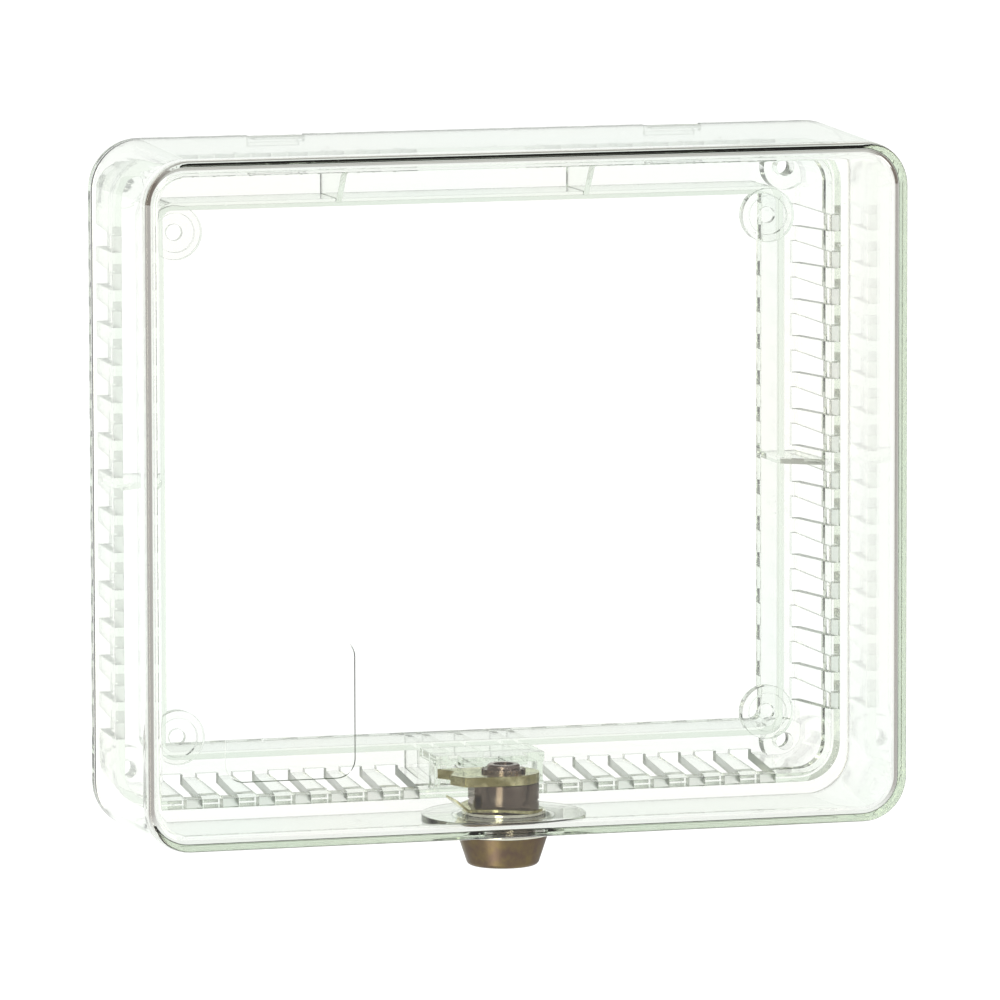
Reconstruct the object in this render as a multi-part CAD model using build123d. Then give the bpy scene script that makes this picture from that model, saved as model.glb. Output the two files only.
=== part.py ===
from build123d import *
import math
import os

# A clear lock box that guards a thermostat: a moulded base ring that screws to the wall, a
# clear cover that hooks over its top edge, and a cylinder lock through the cover's bottom wall.
# X is to the right and Z is up. The wall is the plane Y = 0 and the room is on the -Y side.
# A height off the wall, written h, lies at Y = -h. All sizes are in millimetres and degrees.

# ---- Cover moulding ----
COVER_WIDTH = 211.8  # over the rear edge, its widest part
COVER_HEIGHT = 184.8
COVER_CORNER = 13.4  # outer corner radius at the rear edge
BOX_DEPTH = 75.0  # wall to front face
COVER_WALL = 1.8
COVER_FACE = 2.2
COVER_DRAFT = 1.49  # the sides close in towards the front
FRONT_EDGE = 1.6  # rounding of the outer front edge
INNER_EDGE = 3.0  # rounding where the side walls meet the face
LABEL_CENTRE_X = -65.7  # bare place for a label on the face
LABEL_CENTRE_Z = -54.3
LABEL_WIDTH = 35.2
LABEL_HEIGHT = 37.0
LABEL_CORNER = 5.0
LABEL_DEPTH = 0.2

# ---- Base moulding ----
BASE_WIDTH = 195.5  # over the outer wall's back edge
BASE_HEIGHT = 168.3
BASE_WALL = 2.5
BASE_CORNER = 8.0  # outer corner radius at the back
BASE_LEAN = 4.63  # the outer wall opens out towards the front
BASE_RIM = 28.9  # height of its front edge
BASE_FLOOR = 3.0
FLANGE_BACK = 20.0
FLANGE_THICK = 2.5
EDGE_GAP = 0.5  # cover's rear edge to the flange
OPENING_WIDTH = 170.6  # clear opening inside the shelf wall
OPENING_HEIGHT = 145.4
OPENING_CORNER = 2.5
SHELF_WALL = 2.0
SHELF_HEIGHT = 19.0
RIB = 1.6
TOP_GUSSETS = (-37.2, 31.5)
VENT_PITCH = 10.0
VENT_BACK = 6.1  # vent width at its open back end
VENT_FRONT = 4.4  # vent width at the rim end
VENT_TOP = 27.2  # height of the vent's front end
VENT_BITE = 0.6  # how far it cuts into the floor
VENTS_BESIDE = 7  # vents each way from the middle of a side
FIRST_SIDE_VENT = 5.0
FIRST_TOP_VENT = 20.0  # the middle of the top and bottom is blank
EAR_X = 82.4
EAR_TOP_Z = 66.9
EAR_BOTTOM_Z = -68.5
EAR_R = 7.3
EAR_THICK = 2.0
EAR_HOLE = 2.2
EAR_RIM_WIDE = 2.0
EAR_RIM_RISE = 1.2
BOSS_X = 91.4
BOSS_Z = 78.6
BOSS_R = 6.2
BOSS_HEIGHT = 7.0
BOSS_HOLE = 2.4

# ---- Hooks along the top ----
HOOK_X = 55.0
HOOK_WIDTH = 14.0
HOOK_THICK = 2.0
HOOK_INSET = 0.5  # hook's top below the cover's top
HOOK_DROP = 2.3  # lip below the finger
HOOK_GAP = 1.1  # lip to the flange's back
HOOK_ROOT = 3.0  # length sunk in the cover's wall
NOTCH_SIDE = 0.8
NOTCH_BELOW = 1.0

# ---- Cylinder lock, its axis upright ----
LOCK_H = 47.5  # axis above the wall
BARREL_R = 9.5
BARREL_FLAT = 9.0  # half width over the two flats
BARREL_TALL = 8.25  # barrel above the inner seat
HOLE_CLEAR = 0.1
PAD_R = 22.0
PAD_MIN = 1.2
BOSS_SEAT_R = 13.8
BOSS_SEAT_MIN = 0.1
RING_R = 12.9
RING_THICK = 1.8
HEAD_TOP_R = 12.1
HEAD_END_R = 9.4
HEAD_TALL = 8.2
HEAD_ROUND = 1.5
CAP_THICK = 0.8
CAP_OPENING = 7.7
CAP_CLEAR = 0.05
WASHER_R = 11.2
WASHER_THICK = 0.9
CLIP_THICK = 0.8
CLIP_WAVE = 0.3
CLIP_HALF_WIDTH = 11.0
CLIP_SLOT = 8.1  # half the gap between its arms
CLIP_LEFT = 11.8
CLIP_RIGHT = 10.5
CLIP_WING_REACH = 2.6
CLIP_WING_RISE = 2.9
CLIP_GROOVE = 2.0
CLIP_GROOVE_FLAT = 8.0
BAND_GROOVE_RISE = 3.3  # fine groove above the inner seat
BAND_GROOVE_WIDE = 0.6
BAND_GROOVE_DEEP = 0.3
PLUG_R = 6.3
PLUG_CLEAR = 0.06
PLUG_HEAD_R = 7.2
PLUG_HEAD_THICK = 1.5
PLUG_SET_BACK = 0.9  # plug face above the cap's end
END_GAP = 0.1
STOP_R = 7.7
STOP_THICK = 1.4
STOP_ARC = 80.0
TURN = 90.0
STOP_PLAY = 1.5
STUD_HALF_X = 3.6
STUD_R = 4.4
STUD_BORE = 1.9
KEYWAY_WIDTH = 2.2
KEYWAY_LENGTH = 8.4
KEYWAY_DEEP = 14.0
WAFERS = 4
WAFER_PITCH = 2.4
WAFER_FIRST = 4.2  # first wafer above the plug's face
WAFER_THICK = 1.0
WAFER_WIDTH = 5.2
WAFER_WINDOW = 6.4
WAFER_CLEAR = 0.1
LUG_REACH = 1.4
LUG_HALF = 0.5
SPRING_R = 0.6
SPRING_LENGTH = 3.0
CAM_THICK = 2.6
CAM_GAP = 0.2
CAM_R = 9.6
CAM_TIP = (-15.7, 9.4)
CAM_NOTCH = (-12.4, 4.4)
CAM_NOSE = (-15.5, -2.8)
CAM_HEEL = (-12.9, -8.5)
CAM_CLEAR = 0.05
STAR_R = 5.9
STAR_TEETH = 16
STAR_THICK = 0.9
TOOTH_DEEP = 0.8
SCREW_HEAD_R = 4.4
SCREW_HEAD_TALL = 1.2
SCREW_SOCKET_R = 2.7
SCREW_SOCKET_DEEP = 0.8
SCREW_LENGTH = 9.0
SCREW_CLEAR = 0.05

# ---- Keeper that the cam turns into ----
KEEPER_HALF = 13.5  # half the pocket's width
KEEPER_WEB_FRONT = 28.7
KEEPER_WEB = 2.0
KEEPER_ROOF = 2.5
KEEPER_ROOF_GAP = 0.35  # above the cam
KEEPER_ROOF_FRONT = 34.5
KEEPER_CHEEK_FRONT = 33.0
KEEPER_LIP_HALF = 9.0
KEEPER_LIP_FRONT = 39.5
KEEPER_RIBS = (-9.5, -0.5, 9.5)

# ---- Places that follow from the sizes ----
flange_front = FLANGE_BACK + FLANGE_THICK
cover_rear = flange_front + EDGE_GAP
draft_slope = math.tan(math.radians(COVER_DRAFT))
lean_slope = math.tan(math.radians(BASE_LEAN))


def cover_half_height(h):
    """Half the cover's outer height at height h off the wall."""
    return COVER_HEIGHT / 2 - (h - cover_rear) * draft_slope


def base_half(size, h):
    """Half of the base wall's outer size at height h, where size is its width or height."""
    return size / 2 + h * lean_slope


seat_inner = -(cover_half_height(LOCK_H + PAD_R) - COVER_WALL) + PAD_MIN
seat_outer = -cover_half_height(LOCK_H - BOSS_SEAT_R) - BOSS_SEAT_MIN
head_top = seat_outer - RING_THICK
head_end = head_top - HEAD_TALL
barrel_top = seat_inner + BARREL_TALL
washer_top = seat_inner + WASHER_THICK
plug_face = head_end + PLUG_SET_BACK
plug_head_top = plug_face + PLUG_HEAD_THICK
cam_bottom = barrel_top + CAM_GAP
cam_top = cam_bottom + CAM_THICK
star_top = cam_top + STAR_THICK
roof_under = cam_top + KEEPER_ROOF_GAP


def facing(h):
    """Sketch plane at height h, looking into the room."""
    return Plane.XZ.offset(h)


def level(z):
    """Sketch plane across the lock's axis at height z."""
    return Plane(origin=(0, -LOCK_H, z))


def slab(x_from, x_to, h_from, h_to, z_from, z_to):
    """Square-edged block between two corners."""
    width, depth, height = x_to - x_from, h_to - h_from, z_to - z_from
    centre = Pos((x_from + x_to) / 2, -(h_from + h_to) / 2, (z_from + z_to) / 2)
    return centre * Box(width, depth, height)


def round_bar(radius, z_from, z_to):
    """Round bar on the lock's axis."""
    return extrude(level(z_from) * Circle(radius), amount=z_to - z_from)


def cover_block(inset, h_to):
    """Drafted block of the cover's outline, moved in by inset, from its rear edge to h_to."""
    outline = RectangleRounded(
        COVER_WIDTH - 2 * inset, COVER_HEIGHT - 2 * inset, COVER_CORNER - inset
    )
    return extrude(facing(cover_rear) * outline, amount=h_to - cover_rear, taper=COVER_DRAFT)


def base_block(inset, h_to):
    """Block of the base wall's outline, moved in by inset, that opens out towards h_to."""
    outline = RectangleRounded(
        BASE_WIDTH - 2 * inset, BASE_HEIGHT - 2 * inset, BASE_CORNER - inset
    )
    return extrude(facing(0) * outline, amount=h_to, taper=-BASE_LEAN)


def barrel_outline(grow):
    """Round barrel with two flats that stop it turning in its hole."""
    flats = Rectangle(2 * (BARREL_FLAT + grow), 3 * BARREL_R)
    return Circle(BARREL_R + grow) & flats


def cover_shell():
    """Clear tray with drafted walls, two hooks at the top and a flat seat for the lock."""
    tray = cover_block(0, BOX_DEPTH)
    tray = fillet(tray.faces().sort_by(Axis.Y)[0].edges(), FRONT_EDGE)
    inside = cover_block(COVER_WALL, BOX_DEPTH - COVER_FACE)
    inside = fillet(inside.faces().sort_by(Axis.Y)[0].edges(), INNER_EDGE)
    tray -= inside
    middle = COVER_WALL / 2 - cover_half_height(LOCK_H)
    tray += round_bar(PAD_R, middle, seat_inner)
    tray += round_bar(BOSS_SEAT_R, seat_outer, middle)
    hole = level(seat_outer) * barrel_outline(HOLE_CLEAR)
    tray -= extrude(hole, amount=seat_inner - seat_outer)
    hook_top = COVER_HEIGHT / 2 - HOOK_INSET
    finger_under = hook_top - HOOK_THICK
    lip_front = FLANGE_BACK - HOOK_GAP
    lip_back = lip_front - HOOK_THICK
    for side in (-1, 1):
        left = side * HOOK_X - HOOK_WIDTH / 2
        right = left + HOOK_WIDTH
        tray += slab(left, right, lip_back, cover_rear + HOOK_ROOT, finger_under, hook_top)
        tray += slab(left, right, lip_back, lip_front, finger_under - HOOK_DROP, hook_top)
    label = RectangleRounded(LABEL_WIDTH, LABEL_HEIGHT, LABEL_CORNER)
    label = facing(BOX_DEPTH - LABEL_DEPTH) * Pos(LABEL_CENTRE_X, LABEL_CENTRE_Z) * label
    return tray - extrude(label, amount=LABEL_DEPTH)


def vent():
    """Cutter for one vent of the right side: open at the back, narrower towards the rim."""
    inner = BASE_WALL + VENT_BITE
    outer = 2 * BASE_RIM * lean_slope
    outline = Polygon(
        (0, -VENT_BACK / 2),
        (0, VENT_BACK / 2),
        (-VENT_TOP, VENT_FRONT / 2),
        (-VENT_TOP, -VENT_FRONT / 2),
        align=None,
    )
    return extrude(Plane.YZ.offset(-inner) * outline, amount=inner + outer)


def vented_wall():
    """Leaning outer wall and the floor behind it, with a row of vents through each side."""
    opening = RectangleRounded(OPENING_WIDTH, OPENING_HEIGHT, OPENING_CORNER)
    wall = base_block(0, BASE_RIM) - base_block(BASE_WALL, BASE_RIM)
    wall += base_block(0, BASE_FLOOR) - extrude(facing(0) * opening, amount=BASE_FLOOR)
    cutters = []
    for turn, half, first in (
        (0, BASE_WIDTH / 2, FIRST_SIDE_VENT),
        (90, BASE_HEIGHT / 2, FIRST_TOP_VENT),
    ):
        for index in range(VENTS_BESIDE):
            for way in (-1, 1):
                place = Pos(half, 0, way * (first + index * VENT_PITCH))
                for opposite in (0, 180):
                    cutters.append(Rot(0, turn + opposite, 0) * place * vent())
    return wall - cutters


def wall_frame():
    """Flange and shelf wall, the two rings that stand on the wall and the floor."""
    opening = RectangleRounded(OPENING_WIDTH, OPENING_HEIGHT, OPENING_CORNER)
    shelf_line = offset(opening, SHELF_WALL)
    shelf = extrude(facing(0) * (shelf_line - opening), amount=SHELF_HEIGHT)
    flange = RectangleRounded(COVER_WIDTH, COVER_HEIGHT, COVER_CORNER)
    flange = extrude(facing(FLANGE_BACK) * flange, amount=FLANGE_THICK)
    flange -= base_block(BASE_WALL / 2, BASE_RIM)
    return shelf + flange


def side_gusset():
    """Thin rib from the shelf wall up to the outer wall, in the X-h plane at the right."""
    root = OPENING_WIDTH / 2 + SHELF_WALL / 2
    outline = Polygon(
        (root, 0),
        (root, -SHELF_HEIGHT),
        (base_half(BASE_WIDTH, VENT_TOP) - BASE_WALL / 2, -VENT_TOP),
        (base_half(BASE_WIDTH, 0) - BASE_WALL / 2, 0),
        align=None,
    )
    return extrude(Plane.XY * outline, amount=RIB / 2, both=True)


def top_gusset():
    """The same rib for the top, where the channel is as wide, standing in the Z-h plane."""
    root = OPENING_HEIGHT / 2 + SHELF_WALL / 2
    outline = Polygon(
        (0, root),
        (-SHELF_HEIGHT, root),
        (-VENT_TOP, base_half(BASE_HEIGHT, VENT_TOP) - BASE_WALL / 2),
        (0, base_half(BASE_HEIGHT, 0) - BASE_WALL / 2),
        align=None,
    )
    return extrude(Plane.YZ * outline, amount=RIB / 2, both=True)


def keeper():
    """Pocket at the bottom that the cam turns into, under a roof it can't rise past."""
    outer = KEEPER_HALF + RIB
    web_back = KEEPER_WEB_FRONT - KEEPER_WEB
    roof_top = roof_under + KEEPER_ROOF
    wall_line = -base_half(BASE_HEIGHT, web_back) + BASE_WALL / 2
    rib_line = -base_half(BASE_HEIGHT, 0) + BASE_WALL / 2
    shelf_line = -OPENING_HEIGHT / 2 - SHELF_WALL / 2
    roof_back = SHELF_HEIGHT - KEEPER_WEB
    pocket = slab(-outer, outer, roof_back, KEEPER_ROOF_FRONT, roof_under, roof_top)
    lip = KEEPER_LIP_HALF
    pocket += slab(-lip, lip, roof_back, KEEPER_LIP_FRONT, roof_under, roof_top)
    pocket += slab(-outer, outer, web_back, KEEPER_WEB_FRONT, wall_line, roof_top)
    for side in (-1, 1):
        near, far = sorted((side * KEEPER_HALF, side * outer))
        pocket += slab(near, far, 0, KEEPER_CHEEK_FRONT, rib_line, roof_top)
    for x in KEEPER_RIBS:
        pocket += slab(x - RIB / 2, x + RIB / 2, 0, web_back + KEEPER_WEB / 2, rib_line, roof_top)
    return pocket


def base_ring():
    """Base moulding: vented wall, flange, shelf wall, ears, screw bosses and keeper in one."""
    ring = vented_wall() + wall_frame() + keeper()
    for x in TOP_GUSSETS:
        ring += Pos(x, 0, 0) * top_gusset()
    right = side_gusset()
    ring += right
    ring += mirror(right, Plane.YZ)
    within = base_block(0, BOSS_HEIGHT)
    holes = []
    for x in (-EAR_X, EAR_X):
        for z in (EAR_TOP_Z, EAR_BOTTOM_Z):
            ear = facing(SHELF_HEIGHT - EAR_THICK) * Pos(x, z)
            ring += extrude(ear * Circle(EAR_R), amount=EAR_THICK)
            rim = Circle(EAR_R) - Circle(EAR_R - EAR_RIM_WIDE)
            ring += extrude(ear * rim, amount=EAR_THICK + EAR_RIM_RISE)
            holes.append(facing(0) * Pos(x, z) * Cylinder(EAR_HOLE, 2 * BASE_RIM))
    for x in (-BOSS_X, BOSS_X):
        for z in (-BOSS_Z, BOSS_Z):
            boss = facing(0) * Pos(x, z)
            ring += extrude(boss * Circle(BOSS_R), amount=BOSS_HEIGHT) & within
            holes.append(boss * Cylinder(BOSS_HOLE, 2 * BASE_RIM))
    ring -= holes
    notch_half = HOOK_WIDTH / 2 + NOTCH_SIDE
    notch_bottom = COVER_HEIGHT / 2 - HOOK_INSET - HOOK_THICK - NOTCH_BELOW
    for side in (-1, 1):
        left = side * HOOK_X - notch_half
        right = side * HOOK_X + notch_half
        ring -= slab(left, right, 0, BASE_RIM, notch_bottom, COVER_HEIGHT)
    return ring


def lock_housing():
    """Die-cast body: flatted barrel, tapered head below the wall, bore and stop recess."""
    body = extrude(level(head_top) * barrel_outline(0), amount=barrel_top - head_top)
    body += head_cone(CAP_THICK + CAP_CLEAR, head_end + CAP_THICK + CAP_CLEAR)
    groove_z = seat_inner + BAND_GROOVE_RISE
    groove = round_bar(2 * BARREL_R, groove_z, groove_z + BAND_GROOVE_WIDE)
    body -= groove - round_bar(BARREL_R - BAND_GROOVE_DEEP, groove_z, groove_z + BAND_GROOVE_WIDE)
    for side in (-1, 1):
        near, far = sorted((side * CLIP_GROOVE_FLAT, side * 2 * BARREL_R))
        body -= slab(
            -BARREL_R, BARREL_R, LOCK_H + near, LOCK_H + far, washer_top, washer_top + CLIP_GROOVE
        )
    body -= round_bar(PLUG_R + PLUG_CLEAR, head_end, barrel_top)
    body -= round_bar(PLUG_HEAD_R + PLUG_CLEAR, head_end, plug_head_top + END_GAP)
    recess = stop_sector(STOP_R + PLUG_CLEAR, -STOP_PLAY, STOP_ARC + TURN + STOP_PLAY)
    return body - extrude(level(barrel_top - STOP_THICK - END_GAP) * recess, amount=STOP_THICK * 2)


def stop_sector(radius, start, end):
    """Part of a disc from one angle to another, counted anticlockwise from above."""
    return make_face(
        [
            Line((0, 0), (polar(radius, start))),
            CenterArc((0, 0), radius, start, end - start),
            Line(polar(radius, end), (0, 0)),
        ]
    )


def polar(radius, angle):
    """Point at an angle in degrees."""
    return (radius * math.cos(math.radians(angle)), radius * math.sin(math.radians(angle)))


def head_cone(inset, z_end):
    """Tapered head moved in by inset, from under the ring down to z_end."""
    slope = (HEAD_TOP_R - HEAD_END_R) / HEAD_TALL
    end_r = HEAD_TOP_R - inset - slope * (head_top - z_end)
    profile = make_face(
        Polyline(
            (0, head_top), (HEAD_TOP_R - inset, head_top), (end_r, z_end), (0, z_end), close=True
        )
    )
    corner = profile.vertices().sort_by_distance((end_r, z_end, 0))[0]
    profile = fillet(corner, HEAD_ROUND - min(inset, HEAD_ROUND / 2))
    cone = revolve(Plane.XZ * profile, Axis.Z)
    return Pos(0, -LOCK_H, 0) * cone


def head_cap():
    """Pressed cap over the head, open at its end round the key face."""
    cap = head_cone(0, head_end)
    cap -= head_cone(CAP_THICK, head_end + CAP_THICK)
    return cap - round_bar(CAP_OPENING, head_end, head_top)


def collar_ring():
    """Bright trim ring between the head and the cover's outer seat."""
    outline = Circle(RING_R) - barrel_outline(HOLE_CLEAR)
    ring = extrude(level(head_top) * outline, amount=RING_THICK)
    edges = ring.edges().filter_by(GeomType.CIRCLE).group_by(lambda edge: edge.radius)[-1]
    return chamfer(edges, RING_THICK / 5)


def backing_washer():
    """Flat washer on the cover's inner seat, with the barrel's flats."""
    outline = Circle(WASHER_R) - barrel_outline(HOLE_CLEAR)
    return extrude(level(seat_inner) * outline, amount=WASHER_THICK)


def retaining_clip():
    """Horseshoe spring clip: waved arms in the barrel's grooves and a bent-up wing."""
    base = washer_top + CLIP_WAVE + END_GAP
    half_wave = CLIP_RIGHT * 2 / 3
    crest = Spline(
        [
            (CLIP_RIGHT, base + CLIP_WAVE),
            (CLIP_RIGHT - half_wave, base - CLIP_WAVE),
            (CLIP_RIGHT - 2 * half_wave, base + CLIP_WAVE),
            (-CLIP_LEFT + CLIP_THICK, base - CLIP_WAVE),
        ]
    )
    wing = Line(
        crest @ 1, (-CLIP_LEFT - CLIP_WING_REACH, base - CLIP_WAVE + CLIP_WING_RISE)
    )
    strip = trace_above(crest, wing)
    sheet = extrude(Plane.XZ.offset(LOCK_H) * strip, amount=CLIP_HALF_WIDTH, both=True)
    horseshoe = Pos((CLIP_RIGHT - CLIP_LEFT - CLIP_WING_REACH) / 2, 0) * Rectangle(
        CLIP_LEFT + CLIP_WING_REACH + CLIP_RIGHT, 2 * CLIP_HALF_WIDTH
    )
    arm_gap = barrel_outline(HOLE_CLEAR) & Rectangle(4 * BARREL_R, 2 * CLIP_SLOT)
    arm_gap += Pos(CLIP_RIGHT, 0) * Rectangle(2 * CLIP_RIGHT, 2 * CLIP_SLOT)
    outer = Circle(CLIP_HALF_WIDTH + CLIP_THICK) + Pos(-CLIP_LEFT, 0) * Rectangle(
        4 * CLIP_WING_REACH, CLIP_HALF_WIDTH
    )
    outline = (horseshoe & outer) - arm_gap
    return sheet & extrude(level(barrel_top) * outline, amount=4 * CLIP_WING_RISE, both=True)


def trace_above(crest, wing):
    """Strip of the clip's thickness standing on a waved line and its bent-up end."""
    lift = Pos(0, CLIP_THICK)
    raised_crest = lift * crest
    raised_wing = lift * wing
    return make_face(
        [
            crest,
            wing,
            Line(wing @ 1, raised_wing @ 1),
            raised_wing,
            raised_crest,
            Line(raised_crest @ 0, crest @ 0),
        ]
    )


def wafer_levels():
    """Middle height of each wafer."""
    return [plug_face + WAFER_FIRST + index * WAFER_PITCH for index in range(WAFERS)]


def wafer_outline(grow):
    """Wafer across the plug with a side lug for its spring."""
    plate = Rectangle(WAFER_WIDTH + 2 * grow, 2 * PLUG_R)
    reach = WAFER_WIDTH / 2 + LUG_REACH + grow
    lug = Pos(reach / 2, 0) * Rectangle(reach, 2 * (LUG_HALF + grow))
    return plate + lug


def lock_plug():
    """Turning plug: key face, wafer slots, stop lug and the stud that drives the cam."""
    plug = round_bar(PLUG_R, plug_face, barrel_top)
    plug += round_bar(PLUG_HEAD_R, plug_face, plug_head_top)
    stop = stop_sector(STOP_R, TURN, TURN + STOP_ARC)
    plug += extrude(level(barrel_top - STOP_THICK) * stop, amount=STOP_THICK)
    stud = Circle(STUD_R) & Rectangle(2 * STUD_HALF_X, 3 * STUD_R)
    plug += extrude(level(barrel_top) * stud, amount=cam_top - barrel_top - END_GAP)
    keyway = Rectangle(KEYWAY_WIDTH, KEYWAY_LENGTH)
    plug -= extrude(level(plug_face) * keyway, amount=KEYWAY_DEEP)
    for z in wafer_levels():
        low = z - WAFER_THICK / 2 - WAFER_CLEAR
        slot = extrude(level(low) * wafer_outline(WAFER_CLEAR), amount=WAFER_THICK + 2 * WAFER_CLEAR)
        plug -= slot
        plug -= spring_place(z) * Cylinder(
            SPRING_R + WAFER_CLEAR, SPRING_LENGTH + 4 * WAFER_CLEAR
        )
    return plug - round_bar(STUD_BORE + SCREW_CLEAR, cam_top - SCREW_LENGTH - END_GAP, cam_top)


def spring_place(z):
    """Where a wafer's spring lies, along Y beside the wafer and above its lug."""
    x = WAFER_WIDTH / 2 + LUG_REACH / 2 + WAFER_CLEAR
    h = LOCK_H + LUG_HALF + WAFER_CLEAR + SPRING_LENGTH / 2
    return Pos(x, -h, z) * Rot(90, 0, 0)


def tumblers():
    """Four brass wafers, flush with the plug, each with a window for the key."""
    window = Rectangle(KEYWAY_WIDTH + 4 * WAFER_CLEAR, WAFER_WINDOW)
    outline = (wafer_outline(0) & Circle(PLUG_R - WAFER_CLEAR)) - window
    wafers = [
        extrude(level(z - WAFER_THICK / 2) * outline, amount=WAFER_THICK) for z in wafer_levels()
    ]
    return Compound(children=wafers)


def tumbler_springs():
    """Four fine coil springs, each drawn as the rod of space that its coils fill."""
    rod = Cylinder(SPRING_R, SPRING_LENGTH)
    return Compound(children=[spring_place(z) * rod for z in wafer_levels()])


def lock_cam():
    """Flat cam: a disc on the stud with a notched tongue, straight along its rear edge."""
    tangent_x = -math.sqrt(CAM_R**2 - CAM_TIP[1] ** 2)
    tongue = make_face(
        Polyline(
            (0, CAM_R),
            (tangent_x, CAM_R),
            CAM_TIP,
            CAM_NOTCH,
            CAM_NOSE,
            CAM_HEEL,
            (tangent_x, -CAM_R),
            (0, -CAM_R + CAM_CLEAR),
            close=True,
        )
    )
    stud = Circle(STUD_R + CAM_CLEAR) & Rectangle(2 * (STUD_HALF_X + CAM_CLEAR), 3 * STUD_R)
    outline = Circle(CAM_R) + tongue - stud
    return extrude(level(cam_bottom) * outline, amount=CAM_THICK)


def cam_washer():
    """Toothed lock washer under the screw's head."""
    disc = Circle(STAR_R) - Circle(STUD_BORE + 4 * SCREW_CLEAR)
    gap = Rectangle(2 * TOOTH_DEEP, math.pi * STAR_R / STAR_TEETH)
    outline = disc - [loc * gap for loc in PolarLocations(STAR_R, STAR_TEETH)]
    return extrude(level(cam_top) * outline, amount=STAR_THICK)


def cam_screw():
    """Low screw that holds the cam and its washer on the stud."""
    head = round_bar(SCREW_HEAD_R, star_top, star_top + SCREW_HEAD_TALL)
    head = chamfer(head.faces().sort_by(Axis.Z)[-1].edges(), SCREW_HEAD_TALL / 3)
    socket = level(star_top + SCREW_HEAD_TALL - SCREW_SOCKET_DEEP)
    head -= extrude(socket * Circle(SCREW_SOCKET_R), amount=SCREW_HEAD_TALL)
    return head + round_bar(STUD_BORE, cam_top - SCREW_LENGTH, star_top)


pieces = {
    "cover_shell": cover_shell,
    "base_ring": base_ring,
    "lock_housing": lock_housing,
    "head_cap": head_cap,
    "collar_ring": collar_ring,
    "backing_washer": backing_washer,
    "retaining_clip": retaining_clip,
    "lock_plug": lock_plug,
    "lock_cam": lock_cam,
    "cam_washer": cam_washer,
    "cam_screw": cam_screw,
    "tumblers": tumblers,
    "tumbler_springs": tumbler_springs,
}
os.makedirs("parts", exist_ok=True)
for name, make in pieces.items():
    export_step(make(), f"parts/{name}.step")
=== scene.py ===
import bpy
import math
from mathutils import Matrix, Vector


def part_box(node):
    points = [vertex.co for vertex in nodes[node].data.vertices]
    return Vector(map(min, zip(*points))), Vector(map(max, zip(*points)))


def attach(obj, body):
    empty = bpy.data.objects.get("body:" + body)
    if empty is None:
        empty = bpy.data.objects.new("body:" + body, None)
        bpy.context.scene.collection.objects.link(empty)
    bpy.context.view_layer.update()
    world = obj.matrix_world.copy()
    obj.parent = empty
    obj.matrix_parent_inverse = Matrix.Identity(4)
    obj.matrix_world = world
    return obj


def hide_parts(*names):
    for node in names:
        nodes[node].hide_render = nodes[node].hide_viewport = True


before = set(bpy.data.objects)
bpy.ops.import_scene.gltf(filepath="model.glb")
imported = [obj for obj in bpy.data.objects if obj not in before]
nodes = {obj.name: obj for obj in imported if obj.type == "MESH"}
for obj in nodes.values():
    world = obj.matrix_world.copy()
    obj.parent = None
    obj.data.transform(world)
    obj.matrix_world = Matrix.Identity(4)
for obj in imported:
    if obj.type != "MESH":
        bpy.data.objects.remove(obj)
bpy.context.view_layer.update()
bpy.ops.object.select_all(action="DESELECT")


# ---- Camera ----
# The box is seen from a little left of its front and slightly above, through a long lens, so
# that its upright edges stay nearly parallel and its left side just shows.
LOOK_AT = Vector((-0.00838, -0.075, -0.00077))
CAMERA_AZIMUTH = math.radians(-15.9)
CAMERA_ELEVATION = math.radians(7.06)
CAMERA_ROLL = math.radians(-0.13)
CAMERA_DISTANCE = 2.70105
CAMERA_LENS = 369.7
CAMERA_SENSOR = 36
CAMERA_REACH = 50

across = math.cos(CAMERA_ELEVATION)
towards_camera = Vector((
    math.sin(CAMERA_AZIMUTH) * across,
    -math.cos(CAMERA_AZIMUTH) * across,
    math.sin(CAMERA_ELEVATION),
))
camera_data = bpy.data.cameras.new("camera")
camera_data.lens = CAMERA_LENS
camera_data.sensor_width = CAMERA_SENSOR
camera_data.clip_end = CAMERA_REACH
camera = bpy.data.objects.new("camera", camera_data)
bpy.context.scene.collection.objects.link(camera)
stand = Matrix.Translation(LOOK_AT + towards_camera * CAMERA_DISTANCE)
aim = towards_camera.to_track_quat("Z", "Y").to_matrix().to_4x4()
camera.matrix_world = stand @ aim @ Matrix.Rotation(CAMERA_ROLL, 4, "Z")
bpy.context.scene.camera = camera


# ---- Clear base ----
# One clear polycarbonate moulding that is screwed to the wall: a shelf wall round the opening,
# a vented wall and flange outside it, ears, screw bosses and the lock's keeper. The mould leaves
# soft edges, faint flow marks, and a slightly matt skin on the cut ends of the vents. The rounded
# edges are painted dark as painted shade that draws the outline, and the vent ends are dimmed
# with painted shade.
BASE_EDGE = 0.00028
BASE_TINT = (0.78, 0.86, 0.75, 1)
BASE_FLOW = (14, 30, 14)
CLEAR_WARM = (1.0, 0.998, 0.985, 1)
CLEAR_COOL = (0.985, 1.0, 0.992, 1)
# Painted shade: dark grey and green clear colours for the rounded edges, in place of the dark
# lines that refraction draws.
EDGE_PAINTED_SHADE_GREY = (0.13, 0.12, 0.12, 1)
EDGE_PAINTED_SHADE_GREEN = (0.17, 0.20, 0.17, 1)
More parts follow.
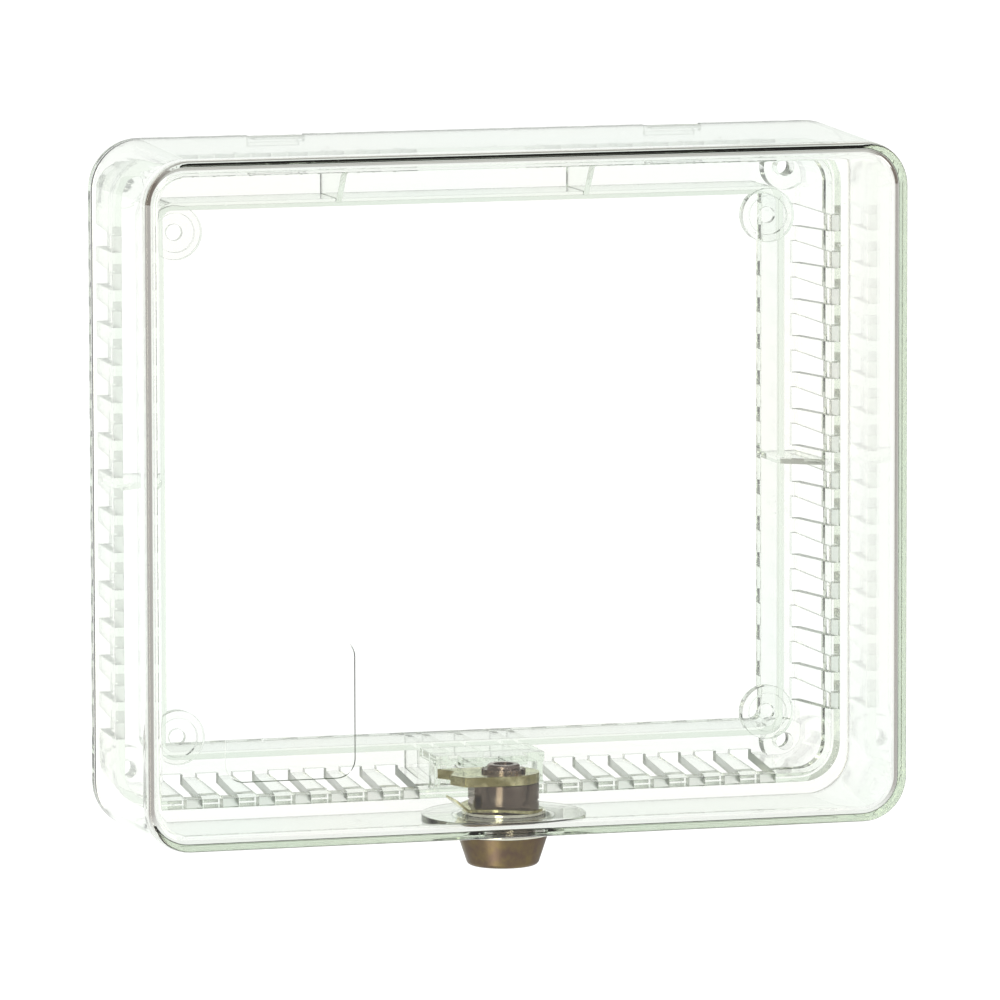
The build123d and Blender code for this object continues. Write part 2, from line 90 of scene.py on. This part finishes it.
# The vent ends' clear colour is dimmed below white as painted shade, and VENT_MATT is their real
# matt skin.
VENT_PAINTED_SHADE_PALE = (0.80, 0.80, 0.78, 1)
VENT_PAINTED_SHADE_GREEN = (0.74, 0.80, 0.74, 1)
VENT_MATT = 0.32
WALL_ZONE_X = 0.0925
WALL_ZONE_Z = 0.079
VENT_ZONE_FRONT = 0.0279
VENT_FACE_MOST = 0.00012
FACING = 0.9
CLEAR_DENSITY = 24
CLEAR_IOR = 1.585
FLOW_STRENGTH = 0.25
FLOW_RELIEF = 0.00004
HAIR_GRAIN = (900, 60, 900)
HAIR_THIN = (0.70, 0.74)
HAIR_PATCH = 35.0
HAIR_PATCH_EDGE = (0.52, 0.62)
HAIR_DEPTH = -0.3
HAIR_MATT = 0.18
DRIFT_SIZE = 18.0
DRIFT_COOL = 0.38
DRIFT_WARM = 0.62
CLEAN_MERGE = 0.000002
FLAT_WITHIN = math.radians(0.5)
SHARP_ABOVE = math.radians(28)
# Material slots: plain clear, rounded edges with painted shade, and matt vent ends with painted
# shade.
WALL_FINISH, PAINTED_EDGE_SHADE, VENT_MATT_SHADE_FINISH = 0, 1, 2


def softened_copy(node, body, edge, finishes, edge_slot=WALL_FINISH):
    """The node's own shape as one clean mesh with its sharp edges rounded by a small radius."""
    piece = bpy.data.objects.new(node + "_finished", nodes[node].data.copy())
    bpy.context.scene.collection.objects.link(piece)
    bpy.ops.object.select_all(action="DESELECT")
    bpy.context.view_layer.objects.active = piece
    piece.select_set(True)
    piece.data.materials.clear()
    for finish in finishes:
        piece.data.materials.append(finish)
    bpy.ops.mesh.customdata_custom_splitnormals_clear()
    bpy.ops.object.mode_set(mode="EDIT")
    bpy.ops.mesh.select_all(action="SELECT")
    bpy.ops.mesh.remove_doubles(threshold=CLEAN_MERGE)
    bpy.ops.mesh.dissolve_limited(angle_limit=FLAT_WITHIN)
    bpy.ops.object.mode_set(mode="OBJECT")
    bpy.ops.object.shade_smooth_by_angle(angle=SHARP_ABOVE)
    rounding = piece.modifiers.new("rounding", "BEVEL")
    rounding.width = edge
    rounding.segments = 2
    rounding.limit_method = "ANGLE"
    rounding.angle_limit = SHARP_ABOVE
    rounding.use_clamp_overlap = True
    # The rounded strips take the material in edge_slot, which on the clear pieces is the painted
    # edge shade.
    rounding.material = edge_slot
    bpy.ops.object.modifier_apply(modifier="rounding")
    flats = piece.modifiers.new("flats", "WEIGHTED_NORMAL")
    flats.weight = 100
    flats.keep_sharp = True
    bpy.ops.object.modifier_apply(modifier="flats")
    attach(piece, body)
    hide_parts(node)
    return piece


class Wire:
    """An output of a shader node. Sums and products of wires add the nodes that work them out."""

    def __init__(self, tree, socket=None):
        self.tree = tree
        self.socket = socket

    def node(self, kind, sockets=(), output=0, stops=(), **settings):
        """Adds a node: its settings first, then the value or the wire of each socket."""
        made = self.tree.nodes.new("ShaderNode" + kind)
        for name, value in settings.items():
            setattr(made, name, value)
        if stops:
            ramp = made.color_ramp.elements
            ramp.remove(ramp[1])
            ramp[0].position, ramp[0].color = stops[0]
            for place, colour in stops[1:]:
                ramp.new(place).color = colour
        for name, value in dict(sockets).items():
            if isinstance(value, Wire):
                self.tree.links.new(value.socket, made.inputs[name])
            else:
                made.inputs[name].default_value = value
        return Wire(self.tree, made.outputs[output])

    def maths(self, operation, *values, clamp=False):
        return self.node("Math", enumerate(values), operation=operation, use_clamp=clamp)

    def __add__(self, other):
        return self.maths("ADD", self, other)

    def __sub__(self, other):
        return self.maths("SUBTRACT", self, other)

    def __rsub__(self, other):
        return self.maths("SUBTRACT", other, self)

    def __mul__(self, other):
        return self.maths("MULTIPLY", self, other)

    __radd__ = __add__
    __rmul__ = __mul__

    def ramp(self, low, high):
        """0 at low, 1 at high, and no more than that past them."""
        return self.maths("DIVIDE", self - low, high - low, clamp=True)

    def most(self, other):
        return self.maths("MAXIMUM", self, other)

    def colours(self, *stops):
        """The wire's value as a colour that runs through the stops."""
        return self.node("ValToRGB", {0: self}, stops=stops)

    def blend(self, first, second):
        """Goes from the first colour to the second as the wire goes from 0 to 1."""
        return self.node("Mix", {0: self, 6: first, 7: second}, output=2, data_type="RGBA")

    def noise(self, scale, detail=2.0, roughness=0.5):
        """A cloudy pattern read at this place."""
        sockets = {"Vector": self, "Scale": scale, "Detail": detail, "Roughness": roughness}
        return self.node("TexNoise", sockets)

    def stretched(self, scale):
        """This place, with each axis made longer or shorter for the pattern."""
        return self.node("Mapping", {"Vector": self, "Scale": scale})


def new_finish(name):
    """A material with its standard shader, and the place on the surface to read patterns at."""
    finish = bpy.data.materials.new(name)
    finish.use_nodes = True
    tree = finish.node_tree
    shader = tree.nodes["Principled BSDF"]
    place = Wire(tree).node("TexCoord", output=3)
    return finish, shader, place


def set_finish(shader, place, **sockets):
    """Sets the shader's sockets: a wire is linked and a number is written."""
    for name, value in sockets.items():
        target = shader.inputs[name.replace("_", " ")]
        if isinstance(value, Wire):
            place.tree.links.new(value.socket, target)
        else:
            target.default_value = value


def clear_plastic(name, tint, flow, warm=CLEAR_WARM, cool=CLEAR_COOL, matt=0.0):
    """Clear polished plastic with faint flow marks along it and a few hair scratches."""
    finish, shader, place = new_finish(name)
    waves = place.stretched(flow).noise(1.0, 3.0, 0.45)
    fine = place.stretched(HAIR_GRAIN).noise(1.0, 2.0, 0.6)
    hair = fine.ramp(*HAIR_THIN) * place.noise(HAIR_PATCH).ramp(*HAIR_PATCH_EDGE)
    height = waves + hair * HAIR_DEPTH
    relief = {"Strength": FLOW_STRENGTH, "Distance": FLOW_RELIEF, "Height": height}
    bump = place.node("Bump", relief)
    # The clear colour drifts at random between two tones. For the edge materials these are
    # painted shade, and for the vent ends they are a dimming painted as shade.
    drift = place.noise(DRIFT_SIZE, 3.0).colours((DRIFT_COOL, cool), (DRIFT_WARM, warm))
    set_finish(shader, place, Base_Color=drift, Roughness=hair * HAIR_MATT + matt, Normal=bump)
    set_finish(shader, place, IOR=CLEAR_IOR, Transmission_Weight=1.0)
    inside = place.node("VolumeAbsorption", {"Color": tint, "Density": CLEAR_DENSITY})
    output = place.tree.nodes["Material Output"]
    place.tree.links.new(inside.socket, output.inputs["Volume"])
    return finish


clear_base = clear_plastic("clear_base", BASE_TINT, BASE_FLOW)
# The base's rounded edges are painted dark grey and green as painted shade.
base_painted_edge_shade = clear_plastic("clear_base_painted_edge_shade", BASE_TINT, BASE_FLOW, EDGE_PAINTED_SHADE_GREY, EDGE_PAINTED_SHADE_GREEN)
# The vent ends are matt and dimmed with painted shade.
vent_matt_and_shade = clear_plastic(
    "clear_vent_ends", BASE_TINT, BASE_FLOW, VENT_PAINTED_SHADE_PALE, VENT_PAINTED_SHADE_GREEN, VENT_MATT
)
base_finishes = (clear_base, base_painted_edge_shade, vent_matt_and_shade)
base = softened_copy(
    "base_ring", "base", BASE_EDGE, base_finishes, PAINTED_EDGE_SHADE
)
# The small cut ends of the vents get the matt finish with painted shade.
for face in base.data.polygons:
    out_x = abs(face.center.x) - WALL_ZONE_X
    out_z = abs(face.center.z) - WALL_ZONE_Z
    beside, above = out_x > 0 > out_z, out_z > 0 > out_x
    run = face.normal.z if beside else face.normal.x
    in_vent = -VENT_ZONE_FRONT < face.center.y < 0 and face.area < VENT_FACE_MOST
    if (beside or above) and in_vent and (abs(run) > FACING or face.normal.y > FACING):
        face.material_index = VENT_MATT_SHADE_FINISH


# ---- Lock body ----
# The barrel and its head are one zinc casting, machined on the barrel and plated with dark
# nickel. The barrel passes up through the cover's floor and carries the spring clip's groove.
BODY_EDGE = 0.00012
NICKEL = (0.135, 0.10, 0.082, 1)
NICKEL_PALE = (0.22, 0.18, 0.145, 1)
TURNING_FINE = (20, 20, 5200)
MOTTLE_FINE = 260.0
MOTTLE_DARK = 0.36
MOTTLE_LIGHT = 0.68
SPECKLE_FINE = 2600.0
METAL_STRENGTH = 0.35
METAL_RELIEF = 0.00003


def plated_metal(name, dark, pale, gloss, grain, turned=0.0):
    """Plated metal: mottled colour, a grain in its gloss and, where it was turned, fine rings."""
    finish, shader, place = new_finish(name)
    mottle = place.noise(MOTTLE_FINE, 4.0, 0.6)
    speckle = place.noise(SPECKLE_FINE, 3.0, 0.55)
    rings = place.stretched(TURNING_FINE).noise(1.0, 1.0)
    colour = mottle.colours((MOTTLE_DARK, dark), (MOTTLE_LIGHT, pale))
    shine = mottle * 0.5 + speckle * 0.5
    rough = shine * (gloss[1] - gloss[0]) * 2.0 + (gloss[0] * 2 - gloss[1])
    height = speckle * grain + rings * turned
    relief = {"Strength": METAL_STRENGTH, "Distance": METAL_RELIEF, "Height": height}
    bump = place.node("Bump", relief)
    set_finish(shader, place, Base_Color=colour, Roughness=rough, Normal=bump, Metallic=1.0)
    return finish


dark_nickel = plated_metal(
    "dark_nickel", NICKEL, NICKEL_PALE, gloss=(0.10, 0.20), grain=0.25, turned=0.6
)
softened_copy("lock_housing", "cover", BODY_EDGE, (dark_nickel,))


# ---- Head cap ----
# A pressed brass cap is rolled over the head. It has a satin bronze finish that is browner in
# some places and more golden where hands have rubbed it.
CAP_BROWN = (0.155, 0.11, 0.085, 1)
CAP_GOLD = (0.215, 0.165, 0.085, 1)

satin_bronze = plated_metal(
    "satin_bronze", CAP_BROWN, CAP_GOLD, gloss=(0.34, 0.52), grain=0.8
)
softened_copy("head_cap", "cover", BODY_EDGE, (satin_bronze,))


# ---- Collar ring ----
# A turned steel ring with bright plate sits between the head and the cover's lower face. It
# spreads the clamp, so that the plastic is not marked.
RING_PALE = (0.88, 0.88, 0.78, 1)
RING_DARK = (0.74, 0.73, 0.62, 1)

bright_plate = plated_metal(
    "bright_plate", RING_DARK, RING_PALE, gloss=(0.06, 0.16), grain=0.15, turned=0.25
)
softened_copy("collar_ring", "cover", BODY_EDGE, (bright_plate,))


# ---- Backing washer ----
# A thin stamped steel washer with the same bright plate. It lies on the cover's inner seat, and
# the spring clip presses on it.
softened_copy("backing_washer", "cover", BODY_EDGE, (bright_plate,))


# ---- Spring clip ----
# A horseshoe of spring steel with yellow zinc plate. It is pushed into the barrel's groove from
# the side and holds the lock in the wall.
ZINC_OLIVE = (0.30, 0.27, 0.11, 1)
ZINC_STRAW = (0.72, 0.69, 0.42, 1)

yellow_zinc = plated_metal(
    "yellow_zinc", ZINC_OLIVE, ZINC_STRAW, gloss=(0.12, 0.24), grain=0.5
)
softened_copy("retaining_clip", "cover", BODY_EDGE, (yellow_zinc,))


# ---- Plug, wafers and springs ----
# The brass plug turns in the barrel. Four brass wafers slide in its slots on fine springs, and
# the key goes in at its lower end.
BRASS = (0.55, 0.44, 0.24, 1)
BRASS_PALE = (0.68, 0.58, 0.36, 1)

machined_brass = plated_metal(
    "machined_brass", BRASS, BRASS_PALE, gloss=(0.2, 0.34), grain=0.3, turned=0.5
)
softened_copy("lock_plug", "plug", BODY_EDGE, (machined_brass,))
for held in ("tumblers", "tumbler_springs"):
    nodes[held].data.materials.clear()
    nodes[held].data.materials.append(machined_brass)


# ---- Cam ----
# A stamped steel cam with yellow zinc plate turns with the plug. Its notched tongue reaches
# under the base's keeper when the box is locked.
softened_copy("lock_cam", "plug", BODY_EDGE, (yellow_zinc,))


# ---- Cam washer and screw ----
# A toothed lock washer and a low screw with a socket hold the cam on the plug's stud. Both are
# dark, with the plate worn pale in places.
SCREW_EDGE = 0.00006
SCREW_DARK = (0.15, 0.115, 0.10, 1)
SCREW_WORN = (0.42, 0.35, 0.32, 1)

dark_plate = plated_metal(
    "dark_plate", SCREW_DARK, SCREW_WORN, gloss=(0.24, 0.42), grain=0.6
)
for held in ("cam_washer", "cam_screw"):
    softened_copy(held, "plug", SCREW_EDGE, (dark_plate,))


# ---- Clear cover ----
# One clear moulding: a rounded front face with a shallow bare label recess, four walls, two
# hooks inside its top wall and a flat lock seat in its bottom wall. Its rounded edges are painted
# dark as painted shade, except at the seat and the recess's upper left, whose edges hardly show.
COVER_EDGE = 0.00028
COVER_TINT = (0.78, 0.85, 0.73, 1)
COVER_FLOW = (30, 14, 14)
FACE_PLANE = -0.0740
FACE_HALF = 0.095
FACE_TALL = 0.082
LABEL_RIGHT = -0.0491
LABEL_LOW = -0.0718
SEAT_ROUND = 0.024
SEAT_DEEP = 0.003
COVER_DRAFT = math.radians(1.49)
SEAT_RADIUS = 0.0223
SEAT_CATCH = 0.0002

clear_cover = clear_plastic("clear_cover", COVER_TINT, COVER_FLOW)
# The cover's rounded edges are painted dark grey and green as painted shade.
cover_painted_edge_shade = clear_plastic(
    "clear_cover_painted_edge_shade", COVER_TINT, COVER_FLOW, EDGE_PAINTED_SHADE_GREY, EDGE_PAINTED_SHADE_GREEN
)
cover_finishes = (clear_cover, cover_painted_edge_shade)
cover = softened_copy(
    "cover_shell", "cover", COVER_EDGE, cover_finishes, PAINTED_EDGE_SHADE
)
washer_low, washer_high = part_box("backing_washer")
seat_middle = (washer_low + washer_high) / 2


def from_lock(spot):
    """How far a place is from the upright line through the lock's middle."""
    return math.hypot(spot.x - seat_middle.x, spot.y - seat_middle.y)


# The seat's and the bare recess's faces keep the plain clear finish, without the painted edge
# shade.
for face in cover.data.polygons:
    spot = face.center
    on_front = spot.y < FACE_PLANE and abs(spot.x) < FACE_HALF and abs(spot.z) < FACE_TALL
    bare = on_front and spot.x < LABEL_RIGHT and spot.z > LABEL_LOW
    if bare or (from_lock(spot) < SEAT_ROUND and spot.z > washer_low.z - SEAT_DEEP):
        face.material_index = WALL_FINISH

# The seat's top is shaded as if it sloped with the wall's outside, so that it stays clear.
seat_shading = [0, math.sin(COVER_DRAFT), math.cos(COVER_DRAFT)]
cover_normals = [list(corner.vector) for corner in cover.data.corner_normals]
for corner, loop in enumerate(cover.data.loops):
    spot = cover.data.vertices[loop.vertex_index].co
    on_seat = abs(spot.z - washer_low.z) < SEAT_CATCH and from_lock(spot) < SEAT_RADIUS
    if on_seat and cover_normals[corner][2] > FACING:
        cover_normals[corner] = seat_shading
cover.data.normals_split_custom_set(cover_normals)


# ---- Studio ----
# A white sweep stands behind and under the box, and dark flags stand to its sides, so that
# clear plastic shows its edges dark. A lit strip in front, to the left, gives the metal its
# narrow highlight.
FLOOR_HEIGHT = -0.35
FLOOR_SIZE = 20
FLOOR_COLOUR = (0.86, 0.86, 0.86, 1)
FLOOR_ROUGH = 0.9
FLOOR_SHOWN = 0.62
FLOOR_LIT = 1.34
PAPER_FINE = 90.0
PAPER_STRENGTH = 0.1
PAPER_RELIEF = 0.0005
SKY_EXTRA = 0.10
WHITE = (1, 1, 1, 1)
FLAG_BROWN = (0.15, 0.12, 0.10, 1)
SWEEP_TINT = (0.87, 0.905, 0.87, 1)
STRIP_WARM = (3.4, 3.3, 2.7, 1)
BEHIND = (0.68, 0.88)
IN_FRONT, FRONT_LEVEL = (-0.55, -0.85), 0.24
BELOW, BELOW_LEVEL = (-0.35, -0.75), 0.8
ABOVE, ABOVE_LEVEL = (0.60, 0.90), 0.5
STRIP_LEFT = (-0.64, -0.56)
STRIP_RIGHT = (-0.28, -0.36)
STRIP_AHEAD = (-0.3, -0.5)
THROWN_ONCE = (0.4, 0.6)
THROWN_TWICE = (1.4, 1.6)
SEEN_THROUGH = 0.85
SEEN_GUIDED = 0.42
SIDE_LAMPS = (("left_lamp", (-1.5, -1.5, 1.5), 7), ("right_lamp", (1.8, -1.0, 1.2), 4))
LAMP_SIZE = 1.0
GLASS_BOUNCES = 24


def studio_light(direction, thrown, guided):
    """The studio's colour in a direction: pale behind, dark flags beside, a lit strip in front.

    Rays that no surface has thrown back, and rays guided along inside the plastic, see the
    flags lighter.
    """
    split = [direction.node("SeparateXYZ", {0: direction}, output=axis) for axis in range(3)]
    level = split[1].ramp(*BEHIND)
    level = level.most(split[1].ramp(*IN_FRONT) * FRONT_LEVEL)
    level = level.most(split[2].ramp(*BELOW) * BELOW_LEVEL)
    level = level.most(split[2].ramp(*ABOVE) * ABOVE_LEVEL)
    level = level.most((1 - thrown) * SEEN_THROUGH).most(guided * SEEN_GUIDED)
    strip = split[0].ramp(*STRIP_LEFT) * split[0].ramp(*STRIP_RIGHT)
    strip = strip * split[1].ramp(*STRIP_AHEAD)
    sweep = thrown.blend(WHITE, SWEEP_TINT)
    return strip.blend(level.blend(FLAG_BROWN, sweep), STRIP_WARM)


def studio_view(tree, direction):
    """The colour that each kind of ray sees, then wires for all seen rays and for clear ones."""
    path = tree.nodes.new("ShaderNodeLightPath")
    kinds = ("Is Camera Ray", "Is Glossy Ray", "Is Transmission Ray", "Glossy Depth")
    by_eye, glossy, through, depth = (Wire(tree, path.outputs[kind]) for kind in kinds)
    guided = through * depth.ramp(*THROWN_TWICE)
    light = studio_light(direction, depth.ramp(*THROWN_ONCE), guided)
    sees_studio = through.most(glossy) * (1 - by_eye)
    return sees_studio.blend(WHITE, light), by_eye.most(through).most(glossy), through


sky = bpy.data.worlds.new("studio")
bpy.context.scene.world = sky
sky.use_nodes = True
sky_place = Wire(sky.node_tree).node("TexCoord", output=0)
sky_colour, _, sky_through = studio_view(sky.node_tree, sky_place)
sky_strength = sky_through * SKY_EXTRA + 1
sky_shader = sky.node_tree.nodes["Background"]
sky.node_tree.links.new(sky_colour.socket, sky_shader.inputs["Color"])
sky.node_tree.links.new(sky_strength.socket, sky_shader.inputs["Strength"])

bpy.ops.mesh.primitive_plane_add(size=FLOOR_SIZE, location=(0, 0, FLOOR_HEIGHT))
floor = bpy.context.object
floor.name = "floor"
bpy.ops.object.transform_apply(location=True)
paper, paper_shader, paper_place = new_finish("floor_paper")
paper_grain = paper_place.noise(PAPER_FINE, 4.0)
paper_relief = {"Strength": PAPER_STRENGTH, "Distance": PAPER_RELIEF, "Height": paper_grain}
paper_bump = paper_place.node("Bump", paper_relief)
set_finish(
    paper_shader, paper_place, Base_Color=FLOOR_COLOUR, Roughness=FLOOR_ROUGH, Normal=paper_bump
)
far = paper_place.node("VectorMath", {0: paper_place}, operation="NORMALIZE")
glow_colour, floor_seen, _ = studio_view(paper.node_tree, far)
glow = paper_place.node("Emission", {"Color": glow_colour, "Strength": FLOOR_LIT})
plain = Wire(paper.node_tree, paper_shader.outputs[0])
paper_mix = paper_place.node("MixShader", {0: floor_seen * FLOOR_SHOWN, 1: plain, 2: glow})
paper_output = paper.node_tree.nodes["Material Output"]
paper.node_tree.links.new(paper_mix.socket, paper_output.inputs["Surface"])
floor.data.materials.append(paper)

for lamp_name, lamp_place, lamp_power in SIDE_LAMPS:
    lamp_data = bpy.data.lights.new(lamp_name, "AREA")
    lamp_data.energy = lamp_power
    lamp_data.size = LAMP_SIZE
    lamp = bpy.data.objects.new(lamp_name, lamp_data)
    bpy.context.scene.collection.objects.link(lamp)
    turn = Vector(lamp_place).to_track_quat("Z", "Y").to_matrix().to_4x4()
    lamp.matrix_world = Matrix.Translation(lamp_place) @ turn

scene = bpy.context.scene
scene.view_settings.view_transform = "Standard"
scene.cycles.max_bounces = GLASS_BOUNCES
scene.cycles.transmission_bounces = GLASS_BOUNCES
scene.cycles.glossy_bounces = GLASS_BOUNCES
